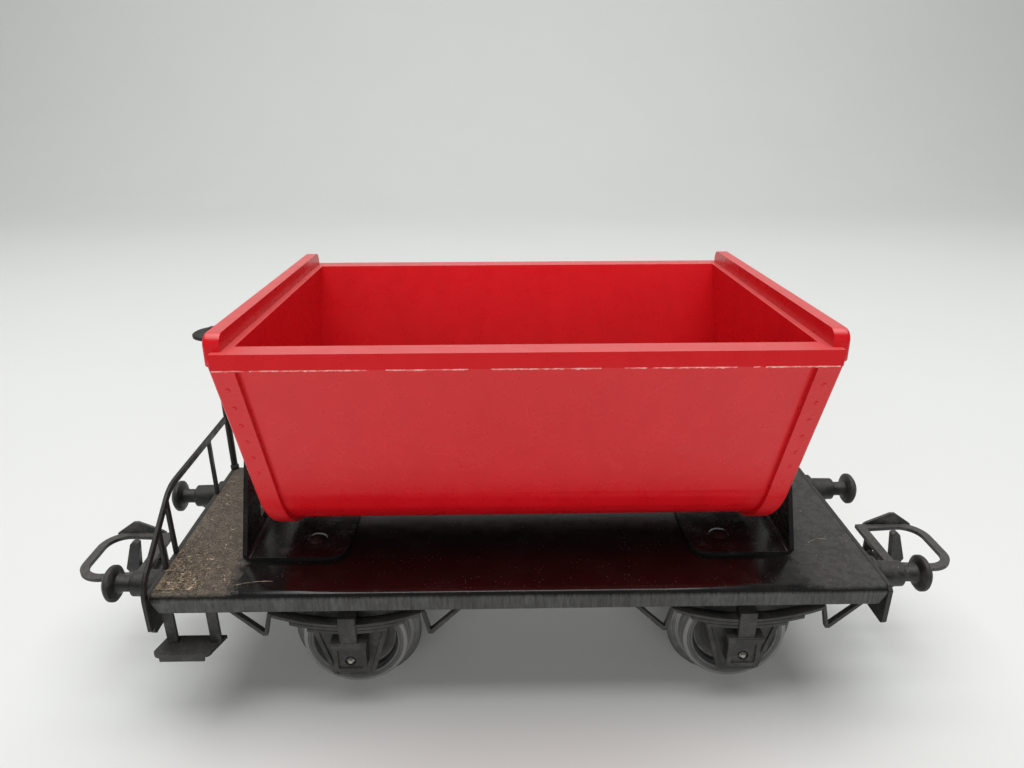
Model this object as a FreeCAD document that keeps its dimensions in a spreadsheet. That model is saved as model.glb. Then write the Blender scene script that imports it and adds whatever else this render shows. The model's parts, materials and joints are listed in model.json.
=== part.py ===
import FreeCAD, Part
import os
import Sketcher

# Small-scale side-tipping wagon: a sheet-metal deck on two wheelsets, two pedestal brackets
# that carry a rocking U-shaped hopper, buffers, swivelling loop couplings and a brake platform.
# Frame: X along the wagon, +Z up, Y across. The origin lies below the middle of the wagon, at
# the level of the lowest points of the wheel flanges. All sizes are in millimetres.

Vector = FreeCAD.Vector
Rotation = FreeCAD.Rotation

doc = FreeCAD.newDocument("tipping_wagon")
sheet = doc.addObject("Spreadsheet::Sheet", "dim")

DIMENSIONS = [
    ("deck_length", 76.6, "length of the deck pressing"),
    ("deck_width", 28.4, "width over the deck's side flanges"),
    ("deck_top", 16.9, "height of the deck's upper face"),
    ("sheet_thick", 0.45, "thickness of the deck sheet"),
    ("flange_depth", 2.1, "depth of the deck's side flanges"),
    ("bend_radius", 0.9, "outer radius of the deck's long bends"),
    ("beam_depth", 4.8, "depth of the end beams"),
    ("beam_thick", 0.5, "thickness of the end beams"),
    ("bar_outer", 11.2, "outer face of the sole bars from the centre line"),
    ("bar_bottom", 3.2, "depth of the sole bars below the deck's top"),
    ("pad_thick", 1.0, "thickness of the underframe plate"),
    ("wheelbase", 43.0, "distance between the axles"),
    ("wheel_shift", 2.9, "offset of the wheelbase's middle towards +X"),
    ("axle_height", 7.2, "height of the axles, equal to the flange radius"),
    ("tread_radius", 5.95, "radius of the wheel treads"),
    ("back_to_back", 14.0, "distance between the wheels' inner faces"),
    ("tyre_width", 2.9, "width of a wheel over tread and flange"),
    ("axle_radius", 1.0, "radius of the axles between the wheels"),
    ("journal_radius", 0.42, "radius of the axle ends"),
    ("running_gap", 0.07, "radial clearance of every turning fit"),
    ("guard_thick", 0.6, "thickness of the axle guards"),
    ("box_depth", 1.5, "depth of an axlebox across the wagon"),
    ("buffer_height", 1.9, "buffer axis below the deck's top"),
    ("buffer_offset", 9.3, "buffer axis from the centre line"),
    ("head_radius", 2.0, "radius of a buffer head"),
    ("bracket_outer", 30.4, "outer face of the brackets from the middle"),
    ("bracket_inner", 19.2, "inner end of the bracket feet from the middle"),
    ("bracket_half", 8.3, "half width of the brackets at the deck"),
    ("bracket_thick", 0.5, "thickness of the bracket sheet"),
    ("trough_clear", 1.8, "gap between the hopper's round bottom and the deck"),
    ("trough_radius", 12.3, "outer radius of the hopper's round bottom"),
    ("wall_slope", 23.7, "lean of the hopper's side walls in degrees"),
    ("cavity_slope", 21.5, "lean of the hopper's inside walls in degrees"),
    ("rim_height", 27.3, "hopper rim above the deck's top"),
    ("band_step", 0.5, "step between the end bands and the side skin"),
    ("wall_thick", 0.8, "thickness of the hopper's skin"),
    ("hopper_half", 27.3, "half length of the hopper over its end walls"),
    ("cavity_half", 25.3, "half length of the hopper's inside"),
    ("band_width", 2.2, "width of the raised end bands"),
    ("lip_half", 19.3, "half width over the rim bars"),
    ("lip_height", 1.45, "height of the rim bars"),
    ("lip_width", 2.3, "width of the rim bars"),
    ("end_rise", 1.5, "rise of the end walls above the rim"),
    ("end_bead", 0.7, "step of the end walls' top bead"),
    ("pin_radius", 1.0, "radius of the hopper's trunnion pins"),
    ("trunnion_y", 0.5, "trunnion line's place across the wagon"),
    ("rest_tip", 1.4, "lean of the resting hopper, its -Y rim up, in degrees"),
    ("rest_shift", 0.42, "end play of the hopper, taken up towards +X"),
    ("rail_height", 7.6, "handrail above the deck's top"),
    ("rail_slope", 34.0, "fall of the handrail's corner in degrees"),
    ("rail_thick", 0.4, "thickness of the railing strip"),
    ("column_x", -38.4, "brake column's place along the wagon"),
    ("column_y", 13.3, "brake column's place across the wagon"),
    ("column_height", 18.9, "top of the brake column's shoulder above the deck"),
    ("handwheel_radius", 2.5, "radius of the brake handwheel"),
    ("coupler_pivot", 33.2, "swivel rivet of the couplings from the middle"),
    ("drawbar_drop", 6.5, "drawbar's upper face below the deck's top"),
    ("loop_reach", 52.3, "outer end of the coupling loops from the middle"),
    ("loop_half", 4.9, "half width of the coupling loops"),
    ("loop_drop", 4.5, "upper face of the loops below the deck's top"),
    ("step_drop", 6.9, "tread of the footsteps below the deck's top"),
]

for row, (alias, size, meaning) in enumerate(DIMENSIONS, start=1):
    sheet.set("A%d" % row, meaning)
    sheet.set("B%d" % row, str(size))
    sheet.setAlias("B%d" % row, alias)
doc.recompute()

# Expressions that several sub-parts share.
TOP = "dim.deck_top"
UNDER = "(dim.deck_top - dim.sheet_thick)"
HALF = "dim.deck_length / 2"
END_FACE = "(dim.deck_length / 2 + dim.beam_thick)"
PIVOT = "(dim.deck_top + dim.trough_clear + dim.trough_radius)"
RIM = "(dim.deck_top + dim.rim_height)"
GUARD_OUT = "(dim.bar_outer + dim.guard_thick)"
BOX_OUT = "(dim.bar_outer + dim.guard_thick + dim.box_depth)"
JOURNAL_BORE = "(dim.journal_radius + dim.running_gap)"
HINGE_X = 44.5
HINGE_RADIUS = 0.3
SPRING_RADIUS = 21.5
LEAF_PITCH = 0.42
LEAF_THICK = 0.34

parts = []


def number(text):
    """Value of an expression that uses the sheet's names."""
    return float(sheet.evalExpression(str(text)))


def new_body(label):
    body = doc.addObject("PartDesign::Body", label)
    body.Label = label
    parts.append(body)
    return body


def place(piece, x=0, y=0, z=0, turn=0, axis=Vector(0, 0, 1)):
    """Move a piece to (x, y, z), given as expressions, after a turn about an axis through its origin."""
    piece.Placement = FreeCAD.Placement(Vector(number(x), number(y), number(z)), Rotation(axis, turn))
    for letter, text in zip("xyz", (x, y, z)):
        piece.setExpression("Placement.Base." + letter, str(text))


def new_sketch(body, role, offset=0):
    """Sketch on one of the body's origin planes, moved along the plane's normal."""
    plane = [item for item in body.Origin.OriginFeatures if item.Role == role][0]
    sketch = body.newObject("Sketcher::SketchObject", "Sketch")
    sketch.AttachmentSupport = (plane, [""])
    sketch.MapMode = "FlatFace"
    sketch.setExpression("AttachmentOffset.Base.z", str(offset))
    return sketch


def bind_point(sketch, curve, end, x, y):
    for kind, text in (("DistanceX", x), ("DistanceY", y)):
        index = sketch.addConstraint(Sketcher.Constraint(kind, -1, 1, curve, end, number(text)))
        sketch.setExpression("Constraints[%d]" % index, str(text))


def arc_centre(start, end, radius):
    """Centre of the short arc from start to end: on the left for a positive radius."""
    chord = end - start
    middle = (start + end) * 0.5
    reach = max(radius * radius - chord.Length ** 2 / 4, 0.0) ** 0.5
    left = Vector(-chord.y, chord.x, 0).normalize()
    return middle + left * (reach if radius > 0 else -reach)


def outline(sketch, corners, closed=True):
    """Chain of lines and arcs through corners (x, y) or (x, y, radius).

    A radius makes an arc of the stretch that leaves its corner: counter-clockwise when positive.
    """
    points = [Vector(number(corner[0]), number(corner[1]), 0) for corner in corners]
    count = len(corners) if closed else len(corners) - 1
    ends = []
    for i in range(count):
        start = points[i]
        end = points[(i + 1) % len(points)]
        if len(corners[i]) == 2:
            curve = sketch.addGeometry(Part.LineSegment(start, end), False)
            ends.append((curve, 1, 2))
            continue
        radius = number(corners[i][2])
        centre = arc_centre(start, end, radius)
        middle = (start + end) * 0.5 - centre
        crest = centre + middle.normalize() * abs(radius)
        curve = sketch.addGeometry(Part.Arc(start, crest, end), False)
        ends.append((curve, 1, 2) if radius > 0 else (curve, 2, 1))
        index = sketch.addConstraint(Sketcher.Constraint("Radius", curve, abs(radius)))
        sketch.setExpression("Constraints[%d]" % index, "abs(%s)" % corners[i][2])
    for i in range(count):
        curve, first, last = ends[i]
        bind_point(sketch, curve, first, corners[i][0], corners[i][1])
        if i + 1 < count or closed:
            following = ends[(i + 1) % count]
            sketch.addConstraint(Sketcher.Constraint("Coincident", curve, last, following[0], following[1]))
        else:
            bind_point(sketch, curve, last, corners[-1][0], corners[-1][1])


def circle(sketch, x, y, radius):
    centre = Vector(number(x), number(y), 0)
    curve = sketch.addGeometry(Part.Circle(centre, Vector(0, 0, 1), number(radius)), False)
    bind_point(sketch, curve, 3, x, y)
    index = sketch.addConstraint(Sketcher.Constraint("Radius", curve, number(radius)))
    sketch.setExpression("Constraints[%d]" % index, str(radius))


def slab(body, role, start, depth, corners=(), circles=(), cut=False):
    """Add or cut a prism from start to start + depth along the positive axis normal to a plane."""
    end = "(%s) + (%s)" % (start, depth)
    if role == "XZ_Plane":
        level = "-(%s)" % (start if cut else end)
    else:
        level = end if cut else start
    sketch = new_sketch(body, role, level)
    if corners:
        outline(sketch, corners)
    for x, y, radius in circles:
        circle(sketch, x, y, radius)
    feature = body.newObject("PartDesign::Pocket" if cut else "PartDesign::Pad", "Slab")
    before = body.Shape.Volume if cut else 0.0
    feature.Profile = sketch
    feature.setExpression("Length", str(depth))
    body.Tip = feature
    doc.recompute()
    if cut and feature.Shape.Volume >= before - 1e-6:
        raise RuntimeError("a cut in %s removes nothing" % body.Label)
    return feature


def turned(body, corners, axis="V_Axis"):
    """Solid of revolution from a half section on the XZ plane."""
    sketch = new_sketch(body, "XZ_Plane")
    outline(sketch, corners)
    feature = body.newObject("PartDesign::Revolution", "Turned")
    feature.Profile = sketch
    feature.ReferenceAxis = (sketch, [axis])
    feature.Angle = 360
    body.Tip = feature
    doc.recompute()
    return feature


def round_edges(body, chosen, radius, kind="PartDesign::Fillet"):
    """Round or chamfer the edges for which chosen(edge) is true."""
    doc.recompute()
    base = body.Tip
    names = ["Edge%d" % (i + 1) for i, edge in enumerate(base.Shape.Edges) if chosen(edge)]
    if not names:
        raise RuntimeError("no edge to round on %s" % body.Label)
    feature = body.newObject(kind, "Round")
    feature.Base = (base, names)
    if kind == "PartDesign::Fillet":
        feature.Radius = radius
    else:
        feature.Size = radius
    body.Tip = feature
    doc.recompute()
    return feature


def rectangle(x_low, x_high, y_low, y_high):
    return [(x_low, y_low), (x_high, y_low), (x_high, y_high), (x_low, y_high)]


def runs_along(edge, direction):
    """True for a straight edge that is parallel to a direction."""
    if edge.Curve.TypeId != "Part::GeomLine":
        return False
    return abs(edge.Curve.Direction.dot(direction)) > 0.999


def make_deck():
    """Deck pressing: one sheet with two long bends and side flanges cut back at their ends."""
    body = new_body("deck_plate")
    edge = "dim.deck_width / 2"
    inner = "(dim.deck_width / 2 - dim.sheet_thick)"
    shoulder = "(dim.deck_width / 2 - dim.bend_radius)"
    bend = "(dim.deck_top - dim.bend_radius)"
    hem = "(dim.deck_top - dim.flange_depth)"
    slab(body, "YZ_Plane", "-" + HALF, "dim.deck_length", [
        ("-" + edge, hem),
        ("-" + edge, bend, "-dim.bend_radius"),
        ("-" + shoulder, TOP),
        (shoulder, TOP, "-dim.bend_radius"),
        (edge, bend),
        (edge, hem),
        (inner, hem),
        (inner, bend, "dim.bend_radius - dim.sheet_thick"),
        (shoulder, UNDER),
        ("-" + shoulder, UNDER, "dim.bend_radius - dim.sheet_thick"),
        ("-" + inner, bend),
        ("-" + inner, hem),
    ])
    for side in ("-", ""):
        slab(body, "XZ_Plane", "-" + edge, "dim.deck_width", [
            (side + HALF, "dim.deck_top - 0.7"),
            ("%s(%s + 1)" % (side, HALF), "dim.deck_top - 0.7"),
            ("%s(%s + 1)" % (side, HALF), "dim.deck_top - 3"),
            ("%s(%s - 1.3)" % (side, HALF), "dim.deck_top - 3"),
        ], cut=True)
    return body


def make_end_beam(name, side):
    """Upright plate across one end of the deck, with its lower corners cut off."""
    body = new_body("end_beam_" + name)
    edge = "dim.deck_width / 2"
    bottom = "(dim.deck_top - dim.beam_depth)"
    start = HALF if side > 0 else "-" + END_FACE
    slab(body, "YZ_Plane", start, "dim.beam_thick", [
        ("-(%s - 0.3)" % edge, bottom),
        ("%s - 0.3" % edge, bottom),
        (edge, bottom + " + 0.3"),
        (edge, TOP + " - 0.5"),
        ("%s - 0.5" % edge, TOP),
        ("-(%s - 0.5)" % edge, TOP),
        ("-" + edge, TOP + " - 0.5"),
        ("-" + edge, bottom + " + 0.3"),
    ])


def make_underframe():
    """Plate under the deck with two sole bars, a spine and a boss for each coupling."""
    body = new_body("underframe")
    lower = "%s - dim.pad_thick" % UNDER
    reach = "(%s - 0.4)" % HALF
    slab(body, "XY_Plane", lower, "dim.pad_thick",
         rectangle("-" + reach, reach, "-dim.bar_outer", "dim.bar_outer"))
    drop = "dim.bar_bottom - dim.sheet_thick"
    for low, high in (("-dim.bar_outer", "-dim.bar_outer + 0.8"), ("dim.bar_outer - 0.8", "dim.bar_outer")):
        slab(body, "XY_Plane", "dim.deck_top - dim.bar_bottom", drop, rectangle("-" + reach, reach, low, high))
    slab(body, "XY_Plane", "%s - 2.4" % UNDER, "2.4", rectangle("-" + reach, reach, -2.2, 2.2))
    boss_bottom = "dim.deck_top - dim.drawbar_drop + 0.1"
    for side in ("", "-"):
        centre = side + "dim.coupler_pivot"
        slab(body, "XY_Plane", boss_bottom, "dim.drawbar_drop - 1", circles=[(centre, 0, 1.9)])
        slab(body, "XY_Plane", boss_bottom, "3", circles=[(centre, 0, 0.7)], cut=True)


def make_axle_guard(name, x, side):
    """Guard plate on the sole bar: wide behind the spring, then tapered between two ribs."""
    body = new_body("axle_guard_" + name)
    slab(body, "XZ_Plane", "-dim.guard_thick / 2", "dim.guard_thick", [
        (-8.0, TOP + " - 1.2"),
        (-7.6, TOP + " - 4"),
        (-4.4, TOP + " - 5.4"),
        (-2.3, TOP + " - 12.5"),
        (-2.0, TOP + " - 12.8"),
        (2.0, TOP + " - 12.8"),
        (2.3, TOP + " - 12.5"),
        (4.4, TOP + " - 5.4"),
        (7.6, TOP + " - 4"),
        (8.0, TOP + " - 1.2"),
    ])
    slab(body, "XZ_Plane", "-dim.guard_thick", "2 * dim.guard_thick",
         circles=[(0, "dim.axle_height", JOURNAL_BORE)], cut=True)
    face = "dim.guard_thick / 2" if side > 0 else "-(dim.guard_thick / 2 + 0.2)"
    for hand in (1, -1):
        slab(body, "XZ_Plane", face, 0.2, [
            (hand * 4.4, TOP + " - 5.4"),
            (hand * 2.3, TOP + " - 12.5"),
            (hand * 1.8, TOP + " - 12.5"),
            (hand * 3.8, TOP + " - 5.4"),
        ])
    place(body, x, "%d * (dim.bar_outer + dim.guard_thick / 2)" % side)


def make_axlebox(name, x, side):
    """Axlebox on the guard: rounded block with a raised rim and a lid, bored for the axle end."""
    body = new_body("axlebox_" + name)
    slab(body, "XZ_Plane", 0, "dim.box_depth",
         rectangle(-1.8, 1.8, "dim.axle_height - 1.35", "dim.axle_height + 2.1"))
    round_edges(body, lambda edge: runs_along(edge, Vector(0, 1, 0)) and
                edge.BoundBox.ZMax < number("dim.axle_height"), 0.7)
    slab(body, "XZ_Plane", 0, "dim.box_depth + 0.3",
         rectangle(-1.95, 1.95, "dim.axle_height + 2.1", "dim.axle_height + 2.7"))
    round_edges(body, lambda edge: runs_along(edge, Vector(1, 0, 0)) and edge.BoundBox.YMin > 1.6, 0.2)
    slab(body, "XZ_Plane", "dim.box_depth - 0.2", "0.2",
         rectangle(-1.3, 1.3, "dim.axle_height - 0.9", "dim.axle_height + 1.6"), cut=True)
    slab(body, "XZ_Plane", 0, "dim.box_depth", circles=[(0, "dim.axle_height", JOURNAL_BORE)], cut=True)
    slab(body, "XZ_Plane", "dim.box_depth - 0.5", "0.5", circles=[(0, "dim.axle_height", 0.62)], cut=True)
    place(body, x, "%d * %s" % (side, GUARD_OUT), 0, 0 if side > 0 else 180)


def make_leaf_spring(name, x, side):
    """Three curved leaves, longest on top, clasped by a buckle that stands on the axlebox."""
    body = new_body("leaf_spring_" + name)
    slab(body, "XZ_Plane", 0.02, 1.6,
         rectangle(-0.95, 0.95, "dim.axle_height + 2.7", "dim.deck_top - 3.8"))
    round_edges(body, lambda edge: edge.BoundBox.YMin > 1.5 and runs_along(edge, Vector(0, 0, 1)), 0.15)
    centre = "(dim.deck_top - 4.8 + %g)" % SPRING_RADIUS
    for layer, reach in enumerate((7.9, 6.1, 4.3)):
        upper = SPRING_RADIUS + layer * LEAF_PITCH
        lower = upper + LEAF_THICK
        high = "%s - sqrt(%g^2 - %g^2)" % (centre, upper, reach)
        low = "%s - sqrt(%g^2 - %g^2)" % (centre, lower, reach)
        slab(body, "XZ_Plane", 0.25, 1.1, [
            (-reach, low, lower),
            (reach, low),
            (reach, high, -upper),
            (-reach, high),
        ])
    place(body, x, "%d * %s" % (side, GUARD_OUT), 0, 0 if side > 0 else 180)


def make_spring_hangers(name, x, side):
    """Strap under the deck's edge with a V-shaped strip at each end of the spring."""
    body = new_body("spring_hangers_" + name)
    slab(body, "XZ_Plane", 0.45, 0.95, rectangle(-13.5, 13.5, "dim.deck_top - 1.9", UNDER + " - 1"))
    for hand in (1, -1):
        low, high = sorted((hand * 12.3, hand * 13.5))
        slab(body, "XZ_Plane", 0.45, 0.95, rectangle(low, high, "dim.deck_top - 1.9", UNDER))
        slab(body, "XZ_Plane", 0.6, 0.6, [
            (hand * 13.5, "dim.deck_top - 1.8"),
            (hand * 9.1, "dim.deck_top - 6.2"),
            (hand * 8.6, "dim.deck_top - 6.2"),
            (hand * 7.95, "dim.deck_top - 3.3"),
            (hand * 8.3, "dim.deck_top - 3.2"),
            (hand * 8.9, "dim.deck_top - 5.7"),
            (hand * 13.0, "dim.deck_top - 1.8"),
        ])
    place(body, x, "%d * %s" % (side, GUARD_OUT), 0, 0 if side > 0 else 180)


def make_wheel(name, x, side):
    """Flanged disc wheel turned about its axle, with a stepped tyre and a raised hub."""
    body = new_body("wheel_" + name)
    tread = "dim.tread_radius"
    turned(body, [
        ("dim.axle_radius", 0),
        ("dim.axle_height - 0.3", 0),
        ("dim.axle_height", 0.3),
        ("dim.axle_height", 0.55),
        (tread + " + 0.45", 0.95),
        (tread + " + 0.05", 1.2),
        (tread + " - 0.1", "dim.tyre_width - 0.15"),
        (tread + " - 0.25", "dim.tyre_width"),
        (tread + " - 1.15", "dim.tyre_width"),
        (tread + " - 1.35", "dim.tyre_width - 0.35"),
        (tread + " - 1.5", "dim.tyre_width - 1.1"),
        (2.3, "dim.tyre_width - 1.3"),
        (1.95, "dim.tyre_width - 0.3"),
        (1.75, "dim.tyre_width - 0.1"),
        ("dim.axle_radius", "dim.tyre_width - 0.1"),
    ])
    place(body, x, "%d * dim.back_to_back / 2" % side, "dim.axle_height", -90 * side, Vector(1, 0, 0))


def make_axle(name, x):
    """Axle turned about its own line, with thin ends that run in the axleboxes."""
    body = new_body("axle_" + name)
    shoulder = "(dim.bar_outer - 0.4)"
    tip = "(%s - 0.05)" % BOX_OUT
    turned(body, [
        (0, "-" + tip),
        ("dim.journal_radius - 0.2", "-" + tip),
        ("dim.journal_radius", "-%s + 0.2" % tip),
        ("dim.journal_radius", "-" + shoulder),
        ("dim.axle_radius", "-" + shoulder),
        ("dim.axle_radius", shoulder),
        ("dim.journal_radius", shoulder),
        ("dim.journal_radius", "%s - 0.2" % tip),
        ("dim.journal_radius - 0.2", tip),
        (0, tip),
    ])
    place(body, x, 0, "dim.axle_height", 90, Vector(1, 0, 0))


def make_buffer(name, x_side, y_side):
    """Sleeve with a foot flange and a gusset below it, and a domed head on a shank."""
    angle = 0 if x_side > 0 else 180
    spot = ("%d * %s" % (x_side, END_FACE), "%d * dim.buffer_offset" % y_side, "dim.deck_top - dim.buffer_height")
    sleeve = new_body("buffer_sleeve_" + name)
    turned(sleeve, [
        (0, 0),
        (3.5, 0),
        (3.5, 1.2),
        (3.35, 1.4),
        (0.7, 1.45),
        (0.4, 1.9),
        (0, 1.9),
    ], "H_Axis")
    slab(sleeve, "XZ_Plane", -0.4, 0.8, [(0, -1.1), (0, -3), (0.6, -3.3), (3.3, -1.1)])
    slab(sleeve, "YZ_Plane", 1.3, 2.4, circles=[(0, 0, 0.9)], cut=True)
    place(sleeve, *spot, angle)
    dome = "((0.75^2 + (dim.head_radius - 0.1)^2) / 1.5)"
    head = new_body("buffer_head_" + name)
    turned(head, [
        (1.3, 0),
        (6.7, 0, dome),
        (5.95, "dim.head_radius - 0.1"),
        (5.8, "dim.head_radius"),
        (5.45, "dim.head_radius"),
        (5.25, "dim.head_radius - 0.25"),
        (5.05, 1.1),
        (4.6, 0.9),
        (1.3, 0.9),
    ], "H_Axis")
    place(head, *spot, angle)


def make_bracket(name, angle):
    """Pedestal bracket: riveted foot and an upright with a window below the trunnion eye."""
    body = new_body("bracket_" + name)
    half = "dim.bracket_half"
    eye_y = "dim.trunnion_y" if angle == 0 else "-dim.trunnion_y"
    corner = 2.0
    slab(body, "XY_Plane", TOP, "dim.bracket_thick", [
        ("dim.bracket_inner + %g" % corner, "-" + half),
        ("dim.bracket_outer", "-" + half),
        ("dim.bracket_outer", half),
        ("dim.bracket_inner + %g" % corner, half, corner),
        ("dim.bracket_inner", "%s - %g" % (half, corner)),
        ("dim.bracket_inner", "-(%s - %g)" % (half, corner), corner),
    ])
    eye = 2.3
    reach = "%g * cos(22.5)" % eye
    eye_z = "%s + %g * sin(22.5)" % (PIVOT, eye)
    slab(body, "YZ_Plane", "dim.bracket_outer - dim.bracket_thick", "dim.bracket_thick", [
        ("-" + half, TOP),
        (half, TOP),
        (half, TOP + " + 0.8"),
        ("%s + %s" % (eye_y, reach), eye_z, eye),
        ("%s - %s" % (eye_y, reach), eye_z),
        ("-" + half, TOP + " + 0.8"),
    ])
    round_edges(body, lambda edge: runs_along(edge, Vector(0, 1, 0)) and
                edge.BoundBox.XMin > number("dim.bracket_outer - 0.01") and
                edge.BoundBox.ZMax < number(TOP) + 0.01, 0.8)
    round_edges(body, lambda edge: runs_along(edge, Vector(0, 1, 0)) and
                abs(edge.CenterOfMass.x - number("dim.bracket_outer - dim.bracket_thick")) < 0.01 and
                abs(edge.CenterOfMass.z - number("dim.deck_top + dim.bracket_thick")) < 0.01, 0.3)
    slab(body, "YZ_Plane", "dim.bracket_outer - 1", 2, [
        (-2.5, TOP + " + 2.1"),
        (2.5, TOP + " + 2.1"),
        (1.6, TOP + " + 6.2", 1.65),
        (-1.6, TOP + " + 6.2"),
    ], cut=True)
    slab(body, "YZ_Plane", "dim.bracket_outer - 1", 2,
         circles=[(eye_y, PIVOT, "dim.pin_radius + dim.running_gap")], cut=True)
    place(body, turn=angle)


def make_bracket_rivets():
    """Four domed rivet heads on the bracket feet, each a cap cut from a sphere."""
    cap_radius = 1.15
    cap_height = 0.36
    sphere_radius = (cap_radius ** 2 + cap_height ** 2) / (2 * cap_height)
    heads = []
    for x_side in (-1, 1):
        for y_side in (-1, 1):
            head = doc.addObject("Part::Sphere", "rivet_head")
            head.Radius = sphere_radius
            head.setExpression("Angle1", "asin(%g)" % ((sphere_radius - cap_height) / sphere_radius))
            head.Angle2 = 90
            place(head, "%d * (dim.bracket_inner + 3.9)" % x_side, "%d * (dim.bracket_half - 3.7)" % y_side,
                  "dim.deck_top + dim.bracket_thick - %g" % (sphere_radius - cap_height))
            heads.append(head)
    group = doc.addObject("Part::Compound", "bracket_rivets")
    group.Label = "bracket_rivets"
    group.Links = heads
    parts.append(group)


def trough_section(shrink, top, slope="dim.wall_slope"):
    """Half-round bottom with two straight walls tangent to it, up to the height top."""
    radius = "(dim.trough_radius - %s)" % shrink
    side = "(%s * cos(%s))" % (radius, slope)
    meet = "(%s - %s * sin(%s))" % (PIVOT, radius, slope)
    upper = "(%s + (%s - %s) * tan(%s))" % (side, top, meet, slope)
    return [("-" + upper, top), ("-" + side, meet, radius), (side, meet), (upper, top)]


def make_hopper():
    """Moulded hopper: trough with end bands, rim bars, raised end walls and trunnions.

    It is drawn level and then leans about its pins to the pose in which it rests.
    """
    body = new_body("hopper")
    skin_half = "(dim.hopper_half - 0.5)"
    below_lip = "(%s - dim.lip_height)" % RIM
    slab(body, "YZ_Plane", "-" + skin_half, "2 * " + skin_half, trough_section("dim.band_step", RIM))
    for start in ("-dim.hopper_half", "dim.hopper_half - dim.band_width"):
        slab(body, "YZ_Plane", start, "dim.band_width", trough_section("0", below_lip))
    round_edges(body, lambda edge: abs(abs(edge.CenterOfMass.x) - number("dim.hopper_half")) < 0.01 and
                edge.BoundBox.ZMin < number(below_lip) - 1, 0.35)
    lip_inner = "(dim.lip_half - dim.lip_width)"
    for low, high in (("-dim.lip_half", "-" + lip_inner), (lip_inner, "dim.lip_half")):
        slab(body, "YZ_Plane", "-" + skin_half, "2 * " + skin_half, rectangle(low, high, below_lip, RIM))
    wall_top = "(%s + dim.end_rise)" % RIM
    head_half = "(dim.lip_half - 0.7)"
    head_low = "(%s - 0.2)" % below_lip
    for start in ("-(dim.hopper_half + 0.2)", "dim.cavity_half"):
        slab(body, "YZ_Plane", start, "dim.hopper_half + 0.2 - dim.cavity_half", [
            ("-(%s - 1)" % head_half, head_low),
            ("%s - 1" % head_half, head_low, 1.2),
            (head_half, head_low + " + 1"),
            (head_half, wall_top + " - 1.1", 1.1),
            ("%s - 1.1" % head_half, wall_top),
            ("-(%s - 1.1)" % head_half, wall_top, 1.1),
            ("-" + head_half, wall_top + " - 1.1"),
            ("-" + head_half, head_low + " + 1", 1.2),
        ])
    round_edges(body, lambda edge: abs(abs(edge.CenterOfMass.x) - number("dim.hopper_half + 0.2")) < 0.01 and
                edge.BoundBox.ZMin > number(RIM) - 0.7, 0.35)
    inside = trough_section("(dim.band_step + dim.wall_thick)", "(%s + 5)" % RIM, "dim.cavity_slope")
    slab(body, "YZ_Plane", "-dim.cavity_half", "2 * dim.cavity_half", inside, cut=True)
    bead_half = "(dim.cavity_half + dim.end_bead)"
    slab(body, "YZ_Plane", "-" + bead_half, "2 * " + bead_half,
         rectangle("-" + head_half, head_half, RIM, "(%s + 5)" % RIM), cut=True)
    for side in (-1, 1):
        plate = "dim.bracket_outer - dim.bracket_thick - dim.rest_shift - 0.2"
        stub = "%s - dim.hopper_half + 0.3" % plate
        pin = "dim.bracket_outer + 1"
        low = "dim.hopper_half - 0.3" if side > 0 else "-(%s)" % plate
        slab(body, "YZ_Plane", low, stub, circles=[(0, PIVOT, 2.0)])
        low = "dim.hopper_half" if side > 0 else "-(%s)" % pin
        slab(body, "YZ_Plane", low, "%s - dim.hopper_half" % pin, circles=[(0, PIVOT, "dim.pin_radius")])
    place(body, "dim.rest_shift", "dim.trunnion_y - %s * sin(dim.rest_tip)" % PIVOT,
          "%s * (1 - cos(dim.rest_tip))" % PIVOT,
          -number("dim.rest_tip"), Vector(1, 0, 0))
    body.setExpression("Placement.Rotation.Angle", "dim.rest_tip")
    body.setExpression("Placement.Rotation.Axis.x", "-1")


def make_railing():
    """Flat handrail round the platform's end, bent down at one corner, on three posts."""
    body = new_body("railing")
    plane = "(-%s + 0.3)" % END_FACE
    level = "(dim.deck_top + dim.rail_height)"
    half = 0.35
    start_y = "(dim.column_y - 0.42)"
    bend = 5.0
    foot_y = "(-dim.deck_width / 2 - 0.35)"
    foot_bend = 3.0
    first_y = -3.6
    first_z = "(%s - %g * (1 - cos(dim.rail_slope)))" % (level, bend)
    second_y = "(%g - %g * sin(dim.rail_slope))" % (first_y, bend)
    third_y = "(%s + %g * (1 - sin(dim.rail_slope)))" % (foot_y, foot_bend)
    third_z = "(%s - (%s - %s) * tan(dim.rail_slope))" % (first_z, second_y, third_y)
    fourth_z = "(%s - %g * cos(dim.rail_slope))" % (third_z, foot_bend)
    path = new_sketch(body, "YZ_Plane", plane)
    outline(path, [
        (start_y, level),
        (first_y, level, bend),
        (second_y, first_z),
        (third_y, third_z, foot_bend),
        (foot_y, fourth_z),
        (foot_y, "dim.deck_top - 3.9"),
    ], closed=False)
    section = new_sketch(body, "XZ_Plane", "-" + start_y)
    outline(section, rectangle("%s - dim.rail_thick / 2" % plane, "%s + dim.rail_thick / 2" % plane,
                               "%s - %g" % (level, half), "%s + %g" % (level, half)))
    doc.recompute()
    strip = body.newObject("PartDesign::AdditivePipe", "Strip")
    strip.Profile = section
    strip.Spine = (path, ["Edge%d" % (i + 1) for i in range(5)])
    body.Tip = strip
    doc.recompute()
    for middle, top in ((6.7, level), (-6.4, "%s - 0.9" % level), (-9.2, "%s - 2.7" % level)):
        slab(body, "YZ_Plane", "%s - dim.rail_thick / 2" % plane, "dim.rail_thick",
             rectangle(middle - 0.3, middle + 0.3, TOP, top))


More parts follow.
